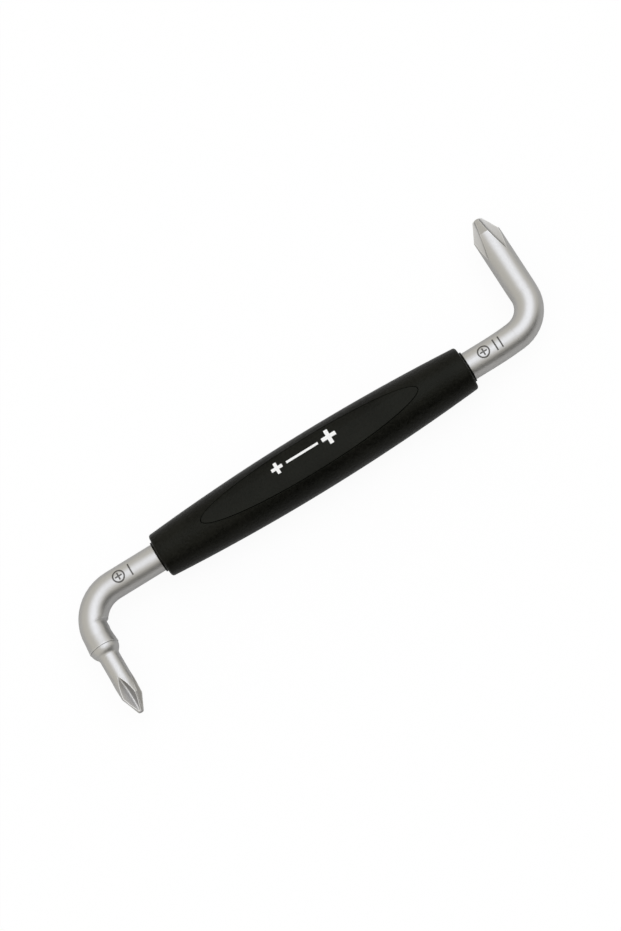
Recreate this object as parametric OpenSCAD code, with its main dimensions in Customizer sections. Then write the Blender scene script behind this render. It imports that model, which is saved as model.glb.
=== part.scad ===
// Offset screwdriver: a Z-bent round steel bar with a cross-recess tip at each end
// and a moulded barrel grip over its middle.
// The shaft runs along X, the large tip points to +Y and the small tip to -Y.
// The tool lies on the flat of its lower inlay, at z = 0.

/* [Steel bar] */
// Diameter of the round bar
bar_d = 6; // [5.6:0.1:6.4]
// Middle of the grip to the axis of the small-tip arm
small_arm_x = 55.1; // [52:0.1:60]
// Middle of the grip to the axis of the large-tip arm
large_arm_x = 53.9; // [52:0.1:60]
// Shaft axis to the nose of the small tip
small_reach = 25.7; // [24:0.1:30]
// Shaft axis to the nose of the large tip
large_reach = 25.7; // [24:0.1:30]
// Depth of the pressed flats that lock the bar in the grip
lock_depth = 0.45; // [0.2:0.05:0.6]
// Length of each pressed flat
lock_len = 9; // [5:0.5:12]
// Middle of the grip to the middle of each pressed flat
lock_x = 20; // [12:1:26]

/* [Large bend] */
// Radius of the bend, at the middle of the bar
large_bend_r = 6.7; // [5.5:0.1:8]
// Radius of the gentle curve that leads from the shaft into the bend
lead_r = 64; // [50:1:80]
// Angle that the gentle curve takes up, in degrees
lead_angle = 5.5; // [3:0.5:7]
// Diameter of the large arm, which the forging of its tip has swollen
large_arm_d = 6.12; // [6.04:0.02:6.3]
// Length over which the bar swells to that diameter
swell_len = 1.5; // [0.5:0.1:3]
// Step out of the bar's radius where the bend starts, and again where it ends
swell_step = 0.015; // [0.01:0.005:0.02]

/* [Small bend] */
// Radius of the bend, at the middle of the bar
small_bend_r = 7.7; // [7:0.1:9]
// Shaft axis to the crease inside the bend, where the turned part of the arm starts
crease_y = 5.2; // [4.5:0.1:6.5]
// Stock left on the turned part of the arm, over the bar's radius
turned_stock = 0.1; // [0.02:0.01:0.14]

/* [Small arm shoulder] */
// Diameter of the small arm at its rim, where the bar swells
rim_d = 6.4; // [6.2:0.05:6.8]
// Shaft axis to the rim
rim_y = 10.3; // [9.5:0.1:12]
// Step in from the rim to the shoulder below it
rim_step = 0.14; // [0.05:0.01:0.2]
// Length of the shoulder, which falls in an S-curve from the rim to the neck
shoulder_len = 2.4; // [2:0.1:3]
// Radius of the curve's outer half
shoulder_round = 2.3; // [1.5:0.1:2.5]
// Diameter of the turned-down neck
neck_d = 4.3; // [4:0.05:4.8]

/* [Large tip] */
// Included angle of the flutes, in degrees
large_flute_angle = 92; // [88:1:96]
// Diameter at the end of the taper
large_nose_d = 2.3; // [2:0.05:2.6]
// Half angle of the taper, in degrees
large_taper_angle = 27; // [25:0.5:30]
// Height of the domed nose
large_nose_h = 0.38; // [0.2:0.02:0.6]
// Least distance from the tip axis to the edge of the wheel that cuts the flutes
large_valley_r = 0.5; // [0.4:0.02:0.7]
// Radius of that wheel
large_wheel_r = 32; // [28:1:40]
// Nose to the middle of the wheel, less than 0 where it stands beyond the nose
large_wheel_back = -3.2; // [-4:0.1:-2]
// Turn of the cross about the tip axis, in degrees
large_turn = 38; // [0:1:90]

/* [Small tip] */
// Included angle of the flutes, in degrees
small_flute_angle = 92; // [88:1:96]
// Diameter at the end of the taper
small_nose_d = 1.25; // [1:0.05:1.5]
// Half angle of the taper, in degrees
small_taper_angle = 25.5; // [22:0.5:28]
// Diameter over the wings at the start of the taper, where the forging has spread them
small_wing_d = 4.62; // [4.4:0.02:4.9]
// Nose to the place where the wings start to spread from the neck
small_wing_len = 8.8; // [8:0.1:10]
// Height of the domed nose
small_nose_h = 0.3; // [0.2:0.02:0.4]
// Least distance from the tip axis to the edge of the wheel that cuts the flutes
small_valley_r = 0.32; // [0.28:0.02:0.44]
// Radius of that wheel
small_wheel_r = 10; // [9:0.5:12]
// Nose to the middle of the wheel, less than 0 where it stands beyond the nose
small_wheel_back = 2.4; // [1.5:0.1:3]
// Turn of the cross about the tip axis, in degrees
small_turn = 9; // [0:1:90]

/* [Grip] */
// Length of the outer sleeve
grip_len = 72.2; // [66:0.2:78]
// Diameter of the sleeve at its middle
grip_mid_d = 12.4; // [11.8:0.1:13.2]
// Diameter that the barrel curve reaches at the sleeve's ends
grip_end_d = 9.5; // [9.3:0.1:10]
// Rounding of the sleeve's end rims
rim_round = 0.6; // [0.3:0.05:0.8]
// Wall of the inner core round the bar
core_wall = 0.8; // [0.7:0.05:0.9]
// Wall of the lip that the core leaves round the bar at each end
lip_wall = 0.35; // [0.25:0.05:0.5]
// Height of that lip beyond the sleeve
lip_len = 0.45; // [0.3:0.05:0.7]
// Height of the core's keys, which lock the sleeve
key_h = 0.8; // [0.5:0.1:1]
// Width of a key across the shaft
key_w = 1.8; // [1.2:0.1:2.4]
// Length of a key along the shaft
key_len = 8; // [5:0.5:9]
// Spacing of the keys along the shaft
key_pitch = 14; // [11:0.5:15]

/* [Oval inlays] */
// Length of an inlay
inlay_len = 50.6; // [48:0.2:52]
// Width of an inlay
inlay_w = 7.2; // [6.8:0.05:7.4]
// Thickness of an inlay at its middle
inlay_t = 1.1; // [0.8:0.05:1.15]
// Width of the flat strip along the middle of an inlay
flat_w = 2.5; // [2:0.1:3]
// Width of the fine groove round an inlay
seam_w = 0.16; // [0.1:0.02:0.2]
// Depth of that groove below the edge of the inlay
seam_depth = 0.3; // [0.2:0.05:0.4]

/* [Hidden] */
$fn = 96;

// Overrun of every cut past the surface it opens
cut = 0.5;
// Lap of a swollen stretch of the bar over the stretch before it
lap = 0.15;
keys_per_side = 4;
flutes = 4;
dome_steps = 4;
shoulder_steps = 6;
barrel_steps = 18;
rim_steps = 6;
outline_points = 72;

bar_r = bar_d / 2;
core_r = bar_r + core_wall;
lip_r = bar_r + lip_wall;
grip_half = grip_len / 2;

// Where the large end's gentle lead starts, and where its bend ends on the arm
large_bend_x = large_arm_x - large_bend_r * (1 - sin(lead_angle)) - lead_r * sin(lead_angle);
large_bend_end = large_bend_r * cos(lead_angle) + lead_r * (1 - cos(lead_angle));
mid_r = grip_mid_d / 2;
end_r = grip_end_d / 2;

// The barrel curve is an arc through the middle and end radii
barrel_sag = mid_r - end_r;
barrel_arc_r = (grip_half * grip_half + barrel_sag * barrel_sag) / (2 * barrel_sag);
function barrel_r(x) = mid_r - barrel_arc_r + sqrt(barrel_arc_r * barrel_arc_r - x * x);

// The inlay's flat strip meets the barrel at the ends of the oval, and its crown at the sides
flat_z = barrel_r(inlay_len / 2);
crown_side = sqrt(mid_r * mid_r - inlay_w * inlay_w / 4);
crown_mid_z = (flat_z * flat_z - crown_side * crown_side - (inlay_w * inlay_w - flat_w * flat_w) / 4)
  / (2 * (flat_z - crown_side));
crown_r = norm([flat_w / 2, flat_z - crown_mid_z]);
pocket_z = flat_z - inlay_t;

// The flat of the lower inlay lies at z = 0, so the shaft's axis is this high
axis_z = flat_z;

steel = [0.76, 0.76, 0.75];
black = [0.13, 0.13, 0.12];
core_black = [0.09, 0.09, 0.09];

module along_x(from, to, r) {
  translate([from, 0, 0]) rotate([0, 90, 0]) cylinder(h = to - from, r = r);
}

// Half outline of a cross-recess tip from y = 0 to the domed nose at y = length: a round wall
// of radius r as long as wall, then the wings, which reach wing_r at the start of the taper
module tip_outline(r, wall, wing_r, length, nose_r, nose_h, taper_angle) {
  taper_end = length - nose_h;
  taper_start = taper_end - (wing_r - nose_r) / tan(taper_angle);
  dome = [for (k = [0 : dome_steps])
    let (a = k * 90 / dome_steps)
    [nose_r * cos(a), taper_end + nose_h * sin(a)]];
  polygon(concat([[0, 0], [r, 0], [r, wall], [wing_r, taper_start]], dome));
}

// Flutes of a cross-recess tip, each cut by a wheel with a V-shaped edge
module tip_flutes(r, length, valley_r, wheel_back, wheel_r, flute_angle, turn) {
  depth = r + cut;
  half_width = depth * tan(flute_angle / 2);
  for (k = [0 : flutes - 1])
    rotate([0, 0, turn + k * 360 / flutes])
      translate([valley_r + wheel_r, 0, length - wheel_back])
        rotate([90, 0, 0])
          rotate_extrude()
            polygon([[wheel_r, 0], [wheel_r - depth, half_width], [wheel_r - depth, -half_width]]);
}

// Large-tip arm, from the end of its bend, standing along +Z
module large_arm() {
  length = large_reach - large_bend_end;
  arm_r = large_arm_d / 2;
  translate([0, 0, -lap]) cylinder(h = lap + swell_len, r1 = bar_r + 2 * swell_step, r2 = arm_r);
  difference() {
    translate([0, 0, swell_len]) rotate_extrude()
      tip_outline(arm_r, swell_len, arm_r, length - swell_len, large_nose_d / 2, large_nose_h,
                  large_taper_angle);
    tip_flutes(arm_r, length, large_valley_r, large_wheel_back, large_wheel_r,
               large_flute_angle, large_turn);
  }
}

// Half outline of the small arm's shoulder: two tangent arcs from the rim at y = 0 to the neck
module shoulder_outline() {
  r = rim_d / 2 - rim_step;
  neck_r = neck_d / 2;
  slope = 2 * atan((r - neck_r) / shoulder_len);
  hollow = shoulder_len / sin(slope) - shoulder_round;
  outer = [for (k = [0 : shoulder_steps])
    let (a = slope * k / shoulder_steps)
    [r - shoulder_round * (1 - cos(a)), shoulder_round * sin(a)]];
  inner = [for (k = [shoulder_steps - 1 : -1 : 0])
    let (a = slope * k / shoulder_steps)
    [neck_r + hollow * (1 - cos(a)), shoulder_len - hollow * sin(a)]];
  polygon(concat([[0, 0]], outer, inner, [[0, shoulder_len]]));
}

// Small-tip arm, from the end of its bend, standing along +Z
module small_arm() {
  rim_h = rim_y - small_bend_r;
  length = small_reach - rim_y;
  wing_r = small_wing_d / 2;
  cylinder(h = rim_h, r1 = bar_r, r2 = rim_d / 2);
  translate([0, 0, rim_h]) difference() {
    rotate_extrude() {
      shoulder_outline();
      tip_outline(neck_d / 2, length - small_wing_len, wing_r, length, small_nose_d / 2,
                  small_nose_h, small_taper_angle);
    }
    tip_flutes(wing_r, length, small_valley_r, small_wheel_back, small_wheel_r,
               small_flute_angle, small_turn);
  }
}

// Bend through an angle towards +Y, from a bar that runs along +X to the origin; swollen by a
// step, it laps over the end of that bar
module bend(radius, angle, step = 0) {
  lap_angle = step > 0 ? atan(lap / radius) : 0;
  translate([0, radius, 0]) rotate([0, 0, -90 - lap_angle])
    rotate_extrude(angle = angle + lap_angle) translate([radius, 0]) circle(r = bar_r + step);
}

// Gentle lead and bend at the large end, from the end of the shaft
module large_bend() {
  bend(lead_r, lead_angle);
  translate([lead_r * sin(lead_angle), lead_r * (1 - cos(lead_angle)), 0])
    rotate([0, 0, lead_angle]) bend(large_bend_r, 90 - lead_angle, swell_step);
}

// Bend at the small end, turned down to the arm's radius beyond the crease
module small_bend() {
  difference() {
    bend(small_bend_r, 90);
    translate([small_bend_r, crease_y, 0]) rotate([-90, 0, 0]) difference() {
      cylinder(h = small_bend_r - crease_y + cut, r = bar_d);
      translate([0, 0, -cut])
        cylinder(h = small_bend_r - crease_y + 3 * cut, r = bar_r + turned_stock);
    }
  }
}

// Straight round bar from the middle of the grip to x = to, with its pair of pressed flats
module half_shaft(to) {
  difference() {
    translate([to, 0, 0]) rotate([0, -90 * sign(to), 0]) cylinder(h = abs(to), r = bar_r);
    for (face = [-1, 1])
      translate([sign(to) * lock_x, 0, face * bar_r])
        cube([lock_len, bar_d, 2 * lock_depth], center = true);
  }
}

module bar() color(steel) translate([0, 0, axis_z]) {
  half_shaft(small_bend_r - small_arm_x);
  half_shaft(large_bend_x);
  translate([large_bend_x, 0, 0]) large_bend();
  translate([large_arm_x, large_bend_end, 0]) rotate([-90, 0, 0]) large_arm();
  translate([small_bend_r - small_arm_x, 0, 0]) rotate([0, 0, 180]) small_bend();
  translate([-small_arm_x, -small_bend_r, 0]) rotate([90, 0, 0]) small_arm();
}

// Keys along both sides of the core, which stop the sleeve from turning and sliding
module keys() {
  for (side = [-1, 1], k = [0 : keys_per_side - 1])
    translate([(k - (keys_per_side - 1) / 2) * key_pitch - key_len / 2,
               side > 0 ? 0 : -core_r - key_h, -key_w / 2])
      cube([key_len, core_r + key_h, key_w]);
}

module core_body() {
  along_x(-grip_half, grip_half, core_r);
  keys();
}

module grip_core() color(core_black) translate([0, 0, axis_z]) difference() {
  union() {
    core_body();
    along_x(-grip_half - lip_len, grip_half + lip_len, lip_r);
  }
  for (side = [-1, 1]) half_shaft(side * (grip_half + lip_len + cut));
}

// Half outline of the barrel, with y along the shaft: the barrel curve between two rounded rims
module barrel_outline() {
  curve_half = grip_half - rim_round;
  rim_x = barrel_r(curve_half) - rim_round;
  curve = [for (k = [-barrel_steps : barrel_steps])
    let (y = curve_half * k / barrel_steps)
    [barrel_r(y), y]];
  rim = [for (k = [1 : rim_steps])
    let (a = k * 90 / rim_steps)
    [rim_x + rim_round * cos(a), curve_half + rim_round * sin(a)]];
  mirrored_rim = [for (k = [len(rim) - 1 : -1 : 0]) [rim[k][0], -rim[k][1]]];
  polygon(concat([[0, -grip_half]], mirrored_rim, curve, rim, [[0, grip_half]]));
}

module barrel() {
  rotate([0, 90, 0]) rotate_extrude() barrel_outline();
}

// Oval outline of an inlay, wider all round by grow
module oval(grow) {
  polygon([for (k = [0 : outline_points - 1])
    let (a = k * 360 / outline_points)
    [(inlay_len / 2 + grow) * cos(a), (inlay_w / 2 + grow) * sin(a)]]);
}

// Section of an inlay's crown across the shaft, with its flat strip
module crown_section() {
  intersection() {
    translate([0, crown_mid_z]) circle(r = crown_r);
    translate([-inlay_w, pocket_z]) square([2 * inlay_w, flat_z - pocket_z]);
  }
}

module inlay() color(black) {
  intersection() {
    translate([0, 0, pocket_z]) linear_extrude(height = inlay_t) oval(0);
    rotate([90, 0, 90]) translate([0, 0, -inlay_len])
      linear_extrude(height = 2 * inlay_len) crown_section();
  }
}

// Pocket of an inlay, with the fine groove round its mouth
module inlay_pocket() {
  translate([0, 0, pocket_z]) linear_extrude(height = mid_r) oval(0);
  translate([0, 0, crown_side - seam_depth]) linear_extrude(height = mid_r) oval(seam_w);
}

module grip_sleeve() color(black) translate([0, 0, axis_z]) difference() {
  barrel();
  along_x(-grip_half - cut, grip_half + cut, core_r);
  keys();
  inlay_pocket();
  rotate([180, 0, 0]) inlay_pocket();
}

module upper_inlay() translate([0, 0, axis_z]) inlay();

module lower_inlay() translate([0, 0, axis_z]) rotate([180, 0, 0]) inlay();

bar();
grip_core();
grip_sleeve();
upper_inlay();
lower_inlay();
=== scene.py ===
"""Dresses and lights the offset screwdriver, with the camera where the photograph was taken."""
import math

import bpy
from mathutils import Matrix, Vector
from mathutils.bvhtree import BVHTree


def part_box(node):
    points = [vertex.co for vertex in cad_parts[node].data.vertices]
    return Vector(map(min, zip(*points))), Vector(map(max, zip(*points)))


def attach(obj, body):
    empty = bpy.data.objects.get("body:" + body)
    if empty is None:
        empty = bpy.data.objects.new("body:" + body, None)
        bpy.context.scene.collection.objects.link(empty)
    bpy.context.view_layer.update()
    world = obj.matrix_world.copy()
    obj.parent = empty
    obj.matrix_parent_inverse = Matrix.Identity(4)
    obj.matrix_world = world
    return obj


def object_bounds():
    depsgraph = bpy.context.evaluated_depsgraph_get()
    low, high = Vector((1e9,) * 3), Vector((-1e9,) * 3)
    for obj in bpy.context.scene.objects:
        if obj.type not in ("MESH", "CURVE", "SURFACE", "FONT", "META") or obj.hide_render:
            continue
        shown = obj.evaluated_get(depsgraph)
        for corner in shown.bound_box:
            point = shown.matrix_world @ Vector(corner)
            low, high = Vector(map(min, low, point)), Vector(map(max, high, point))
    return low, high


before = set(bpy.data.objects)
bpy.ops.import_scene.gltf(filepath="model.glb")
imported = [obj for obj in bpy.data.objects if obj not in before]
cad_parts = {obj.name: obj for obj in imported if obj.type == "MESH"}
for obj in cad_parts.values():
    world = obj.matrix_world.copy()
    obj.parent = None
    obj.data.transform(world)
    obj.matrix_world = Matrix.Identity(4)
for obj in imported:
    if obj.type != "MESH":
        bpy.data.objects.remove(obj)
cad_low, cad_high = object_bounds()

MM = 0.001
WHITE = (1.0, 1.0, 1.0)

# Camera, fitted to the photograph: the tool is tilted away from the viewer about its shaft,
# and the picture is turned so that the shaft climbs to the upper right. The middle of the grip
# lies TOOL_OFFSET right of and above the middle of the picture.
PHOTO_WIDTH = 621
PHOTO_HEIGHT = 931
SENSOR = 36.0
CAMERA_TILT = math.radians(17.8)
CAMERA_ROLL = math.radians(31.6)
CAMERA_DISTANCE = 0.679
CAMERA_CLIP = (0.01, 20)
PIXELS_PER_METRE = 4981
TOOL_OFFSET = (0.61 * MM, 0.71 * MM)

# Floor: pale, with a share of plain white glow for the camera and for reflections
FLOOR_SIZE = 40
FLOOR_GAP = 0.1 * MM
FLOOR_ALBEDO = 0.6
FLOOR_GLOW = 1.04
FLOOR_CAMERA_SHARE = 0.9
FLOOR_GLOSSY_SHARE = 0.1

# Studio: an even level, a soft bright patch overhead and a dark side where the camera stands.
# A patch is (elevation, azimuth, reach along X, Y and Z on a unit globe, core). It fades to
# nothing at its reach, and is full within a share of that reach whose square is core.
STUDIO_LEVEL = 0.81
STUDIO_COLOUR = (1.03, 1.0, 0.93)
OVERHEAD_LEVEL = 1.16
OVERHEAD_COLOUR = (0.895, 0.955, 1.13)
OVERHEAD_PATCH = (72, 20, (0.8, 0.75, 0.8), 0.0)
DARK_SHARE = 0.86
DARK_PATCH = (-12, -70, (1.12, 1.05, 1.0), 0.5)

# In all materials, a grain is (scale per metre, detail) of a noise, and a span is the range of
# a value that a look is spread over. Edges are rounded by the shader.
GRAIN_SPAN = (0.3, 0.7)
SPECK_SPAN = (0.35, 0.65)
EDGE_ROUND = 0.12 * MM

# Steel, with a bump (strength, depth), the reach of the painted shade in its crevices and the
# reach of its lighter convex edges
STEEL_COLOUR = (0.52, 0.515, 0.50)
STEEL_ROUGHNESS = (0.36, 0.44)
STEEL_GRAIN = (2500.0, 3.0)
STEEL_BUMP = (0.06, 0.02 * MM)
STEEL_SAMPLES = 8
SHUT_IN_SPAN = (0.9, 0.45)
CREVICE_SHADE_REACH = 0.7 * MM
# Colour of the painted shade in crevices
CREVICE_SHADE_COLOUR = (0.05, 0.048, 0.045)
LIGHT_EDGE_REACH = 0.35 * MM
# Colour of the lighter convex edges, also used for the painted highlight along the small tip's
# flute valleys
LIGHT_EDGE_AND_HIGHLIGHT_COLOUR = (0.80, 0.795, 0.78)

# Where the painted wall shade of the small tip starts, on its axis, and how soon it is full. A
# flute's two walls are told by how far they face outward and round the axis, and each has a
# colour of painted shade.
SMALL_TIP = (-55.1 * MM, -16 * MM, 5.49 * MM)
WALL_SHADE_FADE = MM
WALL_SHADE_OUTWARD = (0.84, 0.78)
WALL_SHADE_ROUND = (-0.1, 0.1)
WALL_SHADE_COLOURS = ((0.31, 0.302, 0.29), (0.46, 0.453, 0.44))

# Inside the small bend, where edges are rounder and have no painted crevice shade
SOFT_PLACE = (-52.6 * MM, -5.2 * MM, 5.5 * MM)
SOFT_REACH = (2.5 * MM, 4.5 * MM)
SOFT_ROUND = 1.2 * MM

# Plastics: (colour, roughness, size of the grain, depth of the grain)
GRIP_LOOK = ((0.0038, 0.0038, 0.0030), 0.32, 0.6 * MM, 0.2 * MM)
CORE_LOOK = ((0.0040, 0.0040, 0.0033), 0.36, 0.5 * MM, 0.02 * MM)
INLAY_LOOK = ((0.0038, 0.0038, 0.0030), 0.32, 0.6 * MM, 0.14 * MM)

# In all plastics, the colour varies between the tint shares of itself with the grain and a
# coarser cloud, and the roughness by its spread either way.
PLASTIC_DETAIL = 4.0
PLASTIC_NOISE_ROUGHNESS = 0.6
PLASTIC_ROUGHNESS_SPREAD = 0.08
PLASTIC_BUMP = 0.5
PLASTIC_GLOSS = 0.105
PLASTIC_GLOSS_TINT = (1.0, 1.02, 0.85)
PLASTIC_SAMPLES = 6
TINT_SHARES = (0.2, 1.8)
CLOUD_SCALE = 0.05
CLOUD_DETAIL = 2.0
CLOUD_SHARE = 0.5

# Marks engraved in the shaft, in millimetres: round x, a cross in a ring and this many bars
MARK_PLACES = {"small": (-43.5, 1), "large": (42.2, 2)}
MARK_WIDTH = 0.32
MARK_LIFT = 0.016
RING_PLACE = (-1.7, 0.1)
RING_RADIUS = 1.2
RING_CROSS = 1.6
BAR_PLACE = 1.0
BAR_STEP = 1.2
BAR_ENDS = (-1.2, 1.4)
MARK_GRAIN = (2500.0, 2.0)
MARK_COLOURS = ((0.09, 0.087, 0.082), (0.15, 0.146, 0.138))
MARK_ROUGHNESS = 0.5

# Sign printed on the grip, in millimetres: crosses (x, size, width) and a line (from, to, width)
SIGN_PLACE = (-0.7, 1.15)
SIGN_LIFT = 0.02
SIGN_CROSSES = ((-6.2, 2.5, 0.7), (5.9, 3.2, 0.85))
SIGN_LINE = (-4.0, 3.4, 0.5)
INK_GRAIN = (3000.0, 3.0)
INK_COLOURS = ((0.80, 0.80, 0.79), (0.88, 0.88, 0.87))
INK_ROUGHNESS = 0.5

# Strokes of marks and signs, in millimetres, with rows of points at these shares of the width.
# A stroke whose ends are within the closing gap is closed.
STROKE_THICKNESS = 0.03
STROKE_STEP = 0.1
STROKE_ROWS = (-0.5, 0, 0.5)
CLOSING_GAP = 1.5 * STROKE_STEP

# Height in metres above the tool from which a stroke's points are dropped on it
DROP_HEIGHT = 1


def shaft_centre():
    """Middle of the grip on the shaft's axis."""
    low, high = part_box("grip_sleeve")
    return (low + high) / 2


def direction(elevation, azimuth):
    """Unit vector at these angles in degrees, with azimuth from +X towards +Y."""
    rise, turn = math.radians(elevation), math.radians(azimuth)
    return Vector((math.cos(rise) * math.cos(turn),
                   math.cos(rise) * math.sin(turn),
                   math.sin(rise)))


def camera_axes():
    """Right, up and back of the camera as unit vectors in the row frame."""
    back = Vector((0, -math.sin(CAMERA_TILT), math.cos(CAMERA_TILT)))
    along = Vector((1, 0, 0))
    across = back.cross(along)
    right = along * math.cos(CAMERA_ROLL) - across * math.sin(CAMERA_ROLL)
    up = along * math.sin(CAMERA_ROLL) + across * math.cos(CAMERA_ROLL)
    return right, up, back


def make_camera():
    right, up, back = camera_axes()
    data = bpy.data.cameras.new("camera")
    data.sensor_width = SENSOR
    focal_pixels = PIXELS_PER_METRE * CAMERA_DISTANCE
    data.lens = focal_pixels * SENSOR / max(PHOTO_WIDTH, PHOTO_HEIGHT)
    data.clip_start, data.clip_end = CAMERA_CLIP
    camera = bpy.data.objects.new("camera", data)
    bpy.context.scene.collection.objects.link(camera)
    camera.location = (shaft_centre() + back * CAMERA_DISTANCE
                       - right * TOOL_OFFSET[0] - up * TOOL_OFFSET[1])
    camera.rotation_mode = "QUATERNION"
    camera.rotation_quaternion = Matrix((right, up, back)).transposed().to_quaternion()
    bpy.context.scene.camera = camera
    bpy.context.scene.view_settings.view_transform = "Standard"


class Nodes:
    """Short forms for building the node tree of a material or world."""

    # The Mix node's sockets for colours
    MIX_INPUTS = (6, 7)
    MIX_OUTPUT = 2

    def __init__(self, tree):
        self.tree = tree
        tree.nodes.clear()

    def add(self, kind, inputs=None, **settings):
        """A node of this kind; an input is a constant, or a socket that is linked to it."""
        node = self.tree.nodes.new(kind)
        for name, value in settings.items():
            setattr(node, name, value)
        for name, value in (inputs or {}).items():
            if isinstance(value, bpy.types.NodeSocket):
                self.tree.links.new(value, node.inputs[name])
            else:
                node.inputs[name].default_value = value
        return node

    def math(self, operation, *values):
        return self.add("ShaderNodeMath", dict(enumerate(values)), operation=operation).outputs[0]

    def vector(self, operation, *values):
        """A vector made from vectors, or the number that a dot product or distance gives."""
        node = self.add("ShaderNodeVectorMath", dict(enumerate(values)), operation=operation)
        return node.outputs["Value" if operation in ("DOT_PRODUCT", "DISTANCE") else "Vector"]

    def ramp(self, value, from_min, from_max, to_min=0.0, to_max=1.0, kind="LINEAR"):
        """value, mapped from one range to another and clamped."""
        return self.add("ShaderNodeMapRange", {
            "Value": value, "From Min": from_min, "From Max": from_max,
            "To Min": to_min, "To Max": to_max}, interpolation_type=kind).outputs["Result"]

    def mix(self, factor, first, second):
        """The colour between two colours."""
        node = self.add("ShaderNodeMix", {"Factor": factor}, data_type="RGBA")
        for index, value in zip(self.MIX_INPUTS, (first, second)):
            if isinstance(value, bpy.types.NodeSocket):
                self.tree.links.new(value, node.inputs[index])
            else:
                node.inputs[index].default_value = (*value, 1)
        return node.outputs[self.MIX_OUTPUT]

    def noise(self, place, scale, detail, roughness=0.5):
        return self.add("ShaderNodeTexNoise", {
            "Vector": place, "Scale": scale, "Detail": detail,
            "Roughness": roughness}).outputs["Fac"]

    def relief(self, height, strength, depth, edge_radius, samples):
        """The normal with the object's edges rounded and this height as a bump on it."""
        edge = self.add("ShaderNodeBevel", {"Radius": edge_radius}, samples=samples)
        return self.add("ShaderNodeBump", {
            "Strength": strength, "Distance": depth, "Height": height,
            "Normal": edge.outputs["Normal"]}).outputs["Normal"]

    def principled(self, **inputs):
        """A shader on the surface; _ stands for a space in an input's name."""
        named = {name.replace("_", " "): value for name, value in inputs.items()}
        shader = self.add("ShaderNodeBsdfPrincipled", named)
        self.add("ShaderNodeOutputMaterial", {"Surface": shader.outputs[0]})


def new_material(name):
    material = bpy.data.materials.new(name)
    material.use_nodes = True
    return material, Nodes(material.node_tree)


def make_floor():
    bpy.ops.mesh.primitive_plane_add(size=FLOOR_SIZE, location=(0, 0, -FLOOR_GAP))
    floor = bpy.context.object
    floor.name = "floor"
    material, nodes = new_material("floor_white")
    path = nodes.add("ShaderNodeLightPath").outputs
    glossy = nodes.math("MAXIMUM", path["Is Glossy Ray"], path["Is Transmission Ray"])
    share = nodes.math("MULTIPLY_ADD", path["Is Camera Ray"], FLOOR_CAMERA_SHARE,
                       nodes.math("MULTIPLY", glossy, FLOOR_GLOSSY_SHARE))
    diffuse = nodes.add("ShaderNodeBsdfDiffuse", {
        "Color": (FLOOR_ALBEDO, FLOOR_ALBEDO, FLOOR_ALBEDO, 1)})
    glow = nodes.add("ShaderNodeEmission", {"Color": (*WHITE, 1), "Strength": FLOOR_GLOW})
    mix = nodes.add("ShaderNodeMixShader", {0: share, 1: diffuse.outputs[0], 2: glow.outputs[0]})
    nodes.add("ShaderNodeOutputMaterial", {"Surface": mix.outputs[0]})
    floor.data.materials.append(material)


def make_world():
    world = bpy.data.worlds.new("studio")
    bpy.context.scene.world = world
    world.use_nodes = True
    nodes = Nodes(world.node_tree)
    place = nodes.add("ShaderNodeTexCoord").outputs["Generated"]

    def patch(patch_place, level):
        """level inside a round patch of the studio, falling smoothly to 0 outside it."""
        elevation, azimuth, reach, core = patch_place
        away = nodes.vector("SUBTRACT", place, direction(elevation, azimuth))
        away = nodes.vector("DIVIDE", away, reach)
        squared = nodes.vector("DOT_PRODUCT", away, away)
        return nodes.ramp(squared, 1.0, core, 0.0, level, "SMOOTHSTEP")

    def background(colour, strength):
        return nodes.add("ShaderNodeBackground", {
            "Color": (*colour, 1), "Strength": strength}).outputs[0]

    open_share = nodes.math("SUBTRACT", 1.0, patch(DARK_PATCH, DARK_SHARE))
    level = background(STUDIO_COLOUR, nodes.math("MULTIPLY", open_share, STUDIO_LEVEL))
    overhead = background(OVERHEAD_COLOUR, nodes.math(
        "MULTIPLY", open_share, patch(OVERHEAD_PATCH, OVERHEAD_LEVEL)))
    light = nodes.add("ShaderNodeAddShader", {0: level, 1: overhead}).outputs[0]
    camera_ray = nodes.add("ShaderNodeLightPath").outputs["Is Camera Ray"]
    seen = nodes.add("ShaderNodeMixShader", {0: camera_ray, 1: light, 2: background(WHITE, 1.0)})
    nodes.add("ShaderNodeOutputWorld", {"Surface": seen.outputs[0]})


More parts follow.
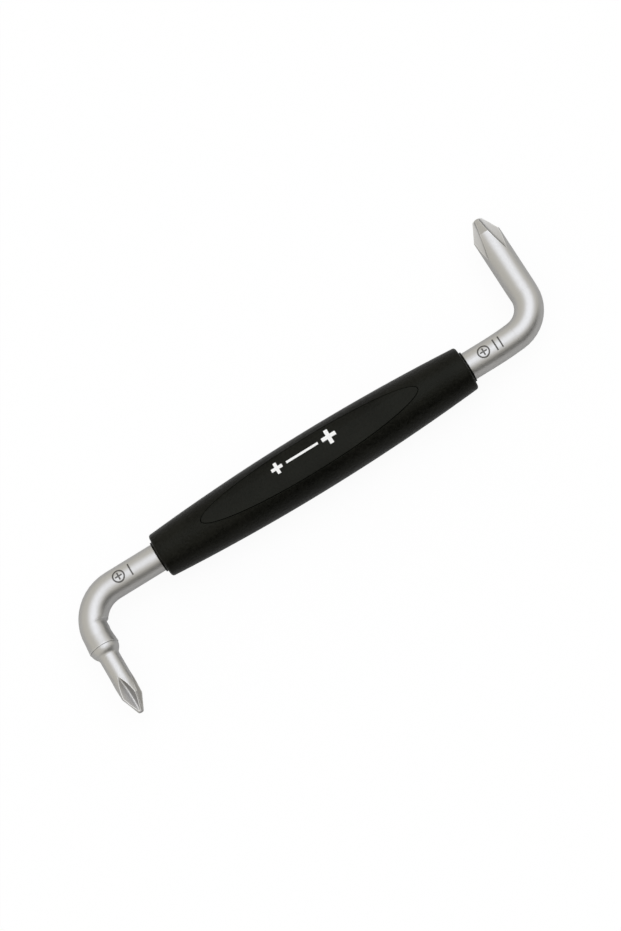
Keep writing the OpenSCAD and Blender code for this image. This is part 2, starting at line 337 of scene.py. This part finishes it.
def steel():
    """Satin chrome: a fine even grain, lighter convex edges, painted shade in crevices and on the
    small tip's flute walls, and a painted highlight along its valleys.
    """
    material, nodes = new_material("satin_steel")
    coordinates = nodes.add("ShaderNodeTexCoord").outputs
    place, normal = coordinates["Object"], coordinates["Normal"]
    grain = nodes.noise(place, *STEEL_GRAIN)
    soft_away = nodes.vector("DISTANCE", place, SOFT_PLACE)
    edge_radius = nodes.ramp(soft_away, *SOFT_REACH, SOFT_ROUND, EDGE_ROUND)

    def shut_in(reach, inside):
        """How far a place is shut in by the steel round it, or by the air round it."""
        share = nodes.add("ShaderNodeAmbientOcclusion", {"Distance": reach},
                          samples=STEEL_SAMPLES, only_local=True, inside=inside).outputs["AO"]
        return nodes.ramp(share, *SHUT_IN_SPAN)

    # On the small tip's flutes, painted shade makes one wall darker than the other by the way it
    # faces, and a painted highlight lightens the valley
    height = nodes.add("ShaderNodeSeparateXYZ", {0: place}).outputs["Y"]
    small_tip = nodes.ramp(height, SMALL_TIP[1], SMALL_TIP[1] - WALL_SHADE_FADE)
    off_axis = nodes.vector("SUBTRACT", place, SMALL_TIP)
    outward = nodes.vector("NORMALIZE", nodes.vector("MULTIPLY", off_axis, (1, 0, 1)))
    round_axis = nodes.vector("CROSS_PRODUCT", (0, 1, 0), outward)
    faces_outward = nodes.vector("DOT_PRODUCT", outward, normal)
    faces_round = nodes.vector("DOT_PRODUCT", round_axis, normal)
    # Painted shade: each wall gets a darker or lighter colour by the way it faces round the axis
    wall_shade = nodes.mix(nodes.ramp(faces_round, *WALL_SHADE_ROUND), *WALL_SHADE_COLOURS)
    wall_shade_share = nodes.math("MULTIPLY", small_tip, nodes.ramp(faces_outward, *WALL_SHADE_OUTWARD))
    colour = nodes.mix(wall_shade_share, STEEL_COLOUR, wall_shade)
    # Colour of the crevices: painted shade, and on the small tip a painted highlight along the
    # flute valleys
    valley_shade_and_highlight = nodes.mix(small_tip, CREVICE_SHADE_COLOUR, LIGHT_EDGE_AND_HIGHLIGHT_COLOUR)
    # Painted shade darkens the crevices that the steel shuts in, except inside the small bend
    shade = nodes.math("MULTIPLY", shut_in(CREVICE_SHADE_REACH, False),
                       nodes.ramp(soft_away, *SOFT_REACH))
    colour = nodes.mix(shade, colour, valley_shade_and_highlight)
    # Convex edges are lightened towards the edge colour
    nodes.principled(
        Base_Color=nodes.mix(shut_in(LIGHT_EDGE_REACH, True), colour, LIGHT_EDGE_AND_HIGHLIGHT_COLOUR),
        Metallic=1.0,
        Roughness=nodes.ramp(grain, *GRAIN_SPAN, *STEEL_ROUGHNESS),
        Normal=nodes.relief(grain, *STEEL_BUMP, edge_radius, STEEL_SAMPLES))
    return material


def plastic(name, colour, roughness, grain_size, grain_depth):
    """Matt moulded plastic with a fine leathery grain, whose size and depth are in metres."""
    material, nodes = new_material(name)
    place = nodes.add("ShaderNodeTexCoord").outputs["Object"]
    grain = nodes.noise(place, 1 / grain_size, PLASTIC_DETAIL, PLASTIC_NOISE_ROUGHNESS)
    cloud = nodes.noise(place, CLOUD_SCALE / grain_size, CLOUD_DETAIL)
    speck = nodes.math("MULTIPLY_ADD", cloud, CLOUD_SHARE,
                       nodes.math("MULTIPLY", grain, 1 - CLOUD_SHARE))
    tints = [tuple(share * part for part in colour) for share in TINT_SHARES]
    nodes.principled(
        Base_Color=nodes.mix(nodes.ramp(speck, *SPECK_SPAN), *tints),
        Roughness=nodes.ramp(grain, *GRAIN_SPAN, roughness - PLASTIC_ROUGHNESS_SPREAD,
                             roughness + PLASTIC_ROUGHNESS_SPREAD),
        Specular_IOR_Level=PLASTIC_GLOSS,
        Specular_Tint=(*PLASTIC_GLOSS_TINT, 1),
        Normal=nodes.relief(grain, PLASTIC_BUMP, grain_depth, EDGE_ROUND, PLASTIC_SAMPLES))
    return material


def mark_material(name, grain, span, colours, metallic, roughness):
    """A dull engraved line or printed ink, a little uneven."""
    material, nodes = new_material(name)
    place = nodes.add("ShaderNodeTexCoord").outputs["Object"]
    speck = nodes.ramp(nodes.noise(place, *grain), *span)
    nodes.principled(Base_Color=nodes.mix(speck, *colours), Metallic=metallic,
                     Roughness=roughness)
    return material


def dress(material, *nodes):
    for node in nodes:
        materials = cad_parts[node].data.materials
        materials.clear()
        materials.append(material)


def line(start, end):
    """Points from start to end, in millimetres, close enough to follow a curved surface."""
    steps = math.ceil(math.dist(start, end) / STROKE_STEP)
    return [tuple(a + (b - a) * k / steps for a, b in zip(start, end)) for k in range(steps + 1)]


def ring(middle, radius):
    """Points round a whole circle; its first point follows its last."""
    steps = math.ceil(2 * math.pi * radius / STROKE_STEP)
    return [(middle[0] + radius * math.cos(2 * math.pi * k / steps),
             middle[1] + radius * math.sin(2 * math.pi * k / steps)) for k in range(steps)]


def plus(middle, size, width):
    """The strokes of a cross, which don't lie on each other."""
    x, y = middle
    half, core = size / 2, width / 2
    return [(points, width) for points in (line((x - half, y), (x + half, y)),
                                           line((x, y + core), (x, y + half)),
                                           line((x, y - half), (x, y - core)))]


def tangents(points, closed):
    """Direction of a stroke at each of its points."""
    last = len(points) - 1
    for k in range(len(points)):
        before = points[k - 1] if k or closed else points[0]
        after = points[(k + 1) % len(points)] if k < last or closed else points[last]
        yield (Vector(after) - Vector(before)).normalized()


def lay_on(name, node, strokes, lift, material):
    """A piece of flat strokes, each (points, width) in millimetres, laid on top of a CAD node."""
    surface = BVHTree.FromObject(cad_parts[node], bpy.context.evaluated_depsgraph_get())
    verts, faces = [], []
    for points, width in strokes:
        first = len(verts)
        closed = math.dist(points[0], points[-1]) < CLOSING_GAP
        for point, along in zip(points, tangents(points, closed)):
            across = Vector((-along.y, along.x))
            for share in STROKE_ROWS:
                spot = (Vector(point) + across * share * width) * MM
                start = Vector((spot.x, spot.y, cad_high.z + DROP_HEIGHT))
                hit = surface.ray_cast(start, Vector((0, 0, -1)))[0]
                verts.append(hit + Vector((0, 0, lift * MM)))
        rows = len(STROKE_ROWS)
        for k in range(len(points) if closed else len(points) - 1):
            here, there = first + rows * k, first + rows * ((k + 1) % len(points))
            faces += [(here + row, there + row, there + row + 1, here + row + 1)
                      for row in range(rows - 1)]
    mesh = bpy.data.meshes.new(name)
    mesh.from_pydata(verts, [], faces)
    mesh.materials.append(material)
    piece = bpy.data.objects.new(name, mesh)
    bpy.context.scene.collection.objects.link(piece)
    thickness = piece.modifiers.new("thickness", "SOLIDIFY")
    thickness.thickness = STROKE_THICKNESS * MM
    thickness.offset = -1
    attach(piece, "root")
    return piece


def engrave_marks():
    """Beside each end of the grip, a cross in a ring and as many bars as the tip's size."""
    material = mark_material("engraved_steel", MARK_GRAIN, GRAIN_SPAN, MARK_COLOURS, 1.0,
                             MARK_ROUGHNESS)
    for end, (x, bars) in MARK_PLACES.items():
        middle = (x + RING_PLACE[0], RING_PLACE[1])
        strokes = [(ring(middle, RING_RADIUS), MARK_WIDTH)]
        strokes += plus(middle, RING_CROSS, MARK_WIDTH)
        for k in range(bars):
            bar_x = x + BAR_PLACE + BAR_STEP * k
            strokes.append((line((bar_x, BAR_ENDS[0]), (bar_x, BAR_ENDS[1])), MARK_WIDTH))
        piece = lay_on(end + "_mark", "bar", strokes, MARK_LIFT, material)


def print_sign():
    """A small and a large cross joined by a line, where a name would be."""
    material = mark_material("white_ink", INK_GRAIN, SPECK_SPAN, INK_COLOURS, 0.0, INK_ROUGHNESS)
    x, y = SIGN_PLACE
    strokes = []
    for cross_x, size, width in SIGN_CROSSES:
        strokes += plus((x + cross_x, y), size, width)
    start, end, width = SIGN_LINE
    strokes.append((line((x + start, y), (x + end, y)), width))
    lay_on("grip_sign", "upper_inlay", strokes, SIGN_LIFT, material)


make_camera()
make_floor()
make_world()
dress(steel(), "bar")
dress(plastic("grip_plastic", *GRIP_LOOK), "grip_sleeve")
dress(plastic("core_plastic", *CORE_LOOK), "grip_core")
dress(plastic("inlay_plastic", *INLAY_LOOK), "upper_inlay", "lower_inlay")
engrave_marks()
print_sign()
